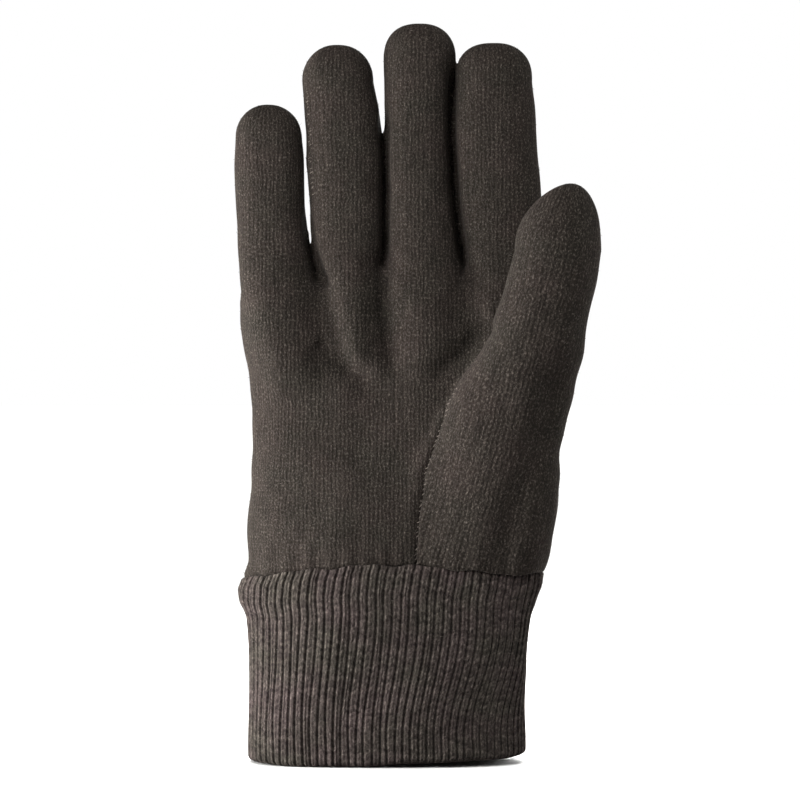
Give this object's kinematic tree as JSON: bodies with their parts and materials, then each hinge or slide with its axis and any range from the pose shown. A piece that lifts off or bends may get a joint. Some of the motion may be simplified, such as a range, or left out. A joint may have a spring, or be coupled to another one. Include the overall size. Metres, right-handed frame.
{
  "type": "cotton work glove",
  "caption": "Five-finger work glove in brown cotton jersey with a ribbed knitted wrist, filled out as on a hand.",
  "frame": {"origin": "middle of the wrist opening, in the plane of the hem", "axes": "+Z from the hem up to the fingertips, +X across the palm towards the thumb, the palm faces -Y"},
  "size_m": [0.1236, 0.0661, 0.2514],
  "materials": {
    "jersey": "brushed brown heather jersey, matt",
    "rib_knit": "brown heather rib knit, matt"
  },
  "bodies": {
    "root": {"palm_panel": "jersey", "back_panel": "jersey", "thumb_piece": "jersey", "knit_cuff": "rib_knit"}
  },
  "joints": []
}
